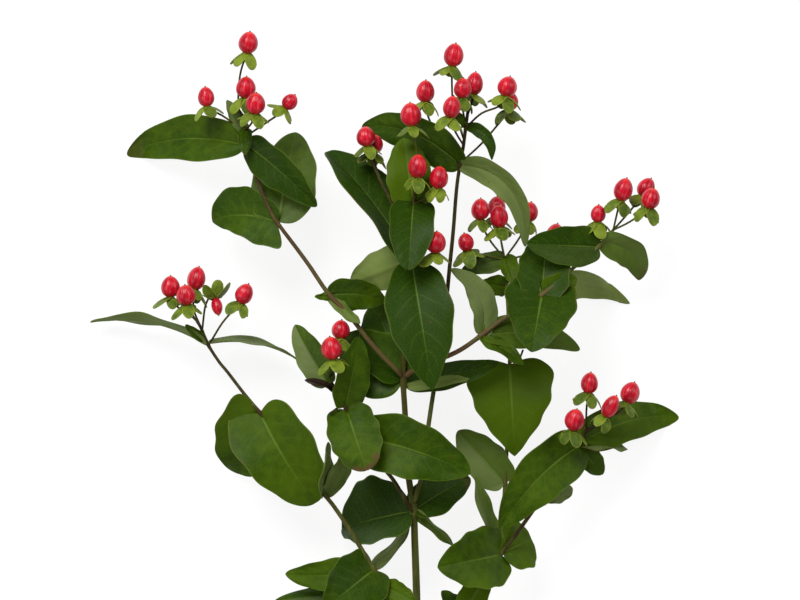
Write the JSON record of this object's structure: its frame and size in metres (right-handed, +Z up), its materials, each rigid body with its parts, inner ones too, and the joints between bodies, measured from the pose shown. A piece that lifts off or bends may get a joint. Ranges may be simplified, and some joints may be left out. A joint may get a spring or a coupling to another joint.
{
  "type": "hypericum berry stem",
  "caption": "Cut leafy stem of hypericum with side stems, oval leaves and clusters of red berries on green calyces, lying on a surface.",
  "frame": {"origin": "centre of the bounding box's bottom face, on the surface that the stem lies on", "axes": "+Y along the main stem from the cut end to the tips, +X across the spray, +Z up from the surface"},
  "size_m": [0.3555, 0.4197, 0.0764],
  "materials": {
    "foliage": "satin leaf green",
    "berry": "glossy berry red"
  },
  "bodies": {
    "root": {"centre_twig": "foliage", "centre_twig_berry_1": "berry", "centre_twig_berry_2": "berry", "left_twig": "foliage", "left_twig_berry_1": "berry", "left_twig_berry_2": "berry", "lower_left_stem": "foliage", "lower_left_stem_berry_1": "berry", "lower_left_stem_berry_2": "berry", "lower_left_stem_berry_3": "berry", "lower_left_stem_berry_4": "berry", "lower_left_stem_berry_5": "berry", "lower_right_stem": "foliage", "lower_right_stem_berry_1": "berry", "lower_right_stem_berry_2": "berry", "lower_right_stem_berry_3": "berry", "lower_right_stem_berry_4": "berry", "main_stem": "foliage", "main_stem_berry_1": "berry", "main_stem_berry_2": "berry", "main_stem_berry_3": "berry", "main_stem_berry_4": "berry", "right_back_stem": "foliage", "right_back_stem_berry_1": "berry", "right_back_stem_berry_2": "berry", "right_back_stem_berry_3": "berry", "right_back_stem_berry_4": "berry", "right_back_stem_berry_5": "berry", "right_back_stem_berry_6": "berry", "right_back_stem_berry_7": "berry", "top_stem": "foliage", "top_stem_berry_1": "berry", "top_stem_berry_2": "berry", "top_stem_berry_3": "berry", "top_stem_berry_4": "berry", "top_stem_berry_5": "berry", "top_stem_berry_6": "berry", "top_stem_berry_7": "berry", "upper_left_stem": "foliage", "upper_left_stem_berry_1": "berry", "upper_left_stem_berry_2": "berry", "upper_left_stem_berry_3": "berry", "upper_left_stem_berry_4": "berry", "upper_left_stem_berry_5": "berry", "upper_right_stem": "foliage", "upper_right_stem_berry_1": "berry", "upper_right_stem_berry_2": "berry", "upper_right_stem_berry_3": "berry", "upper_right_stem_berry_4": "berry"}
  },
  "joints": []
}
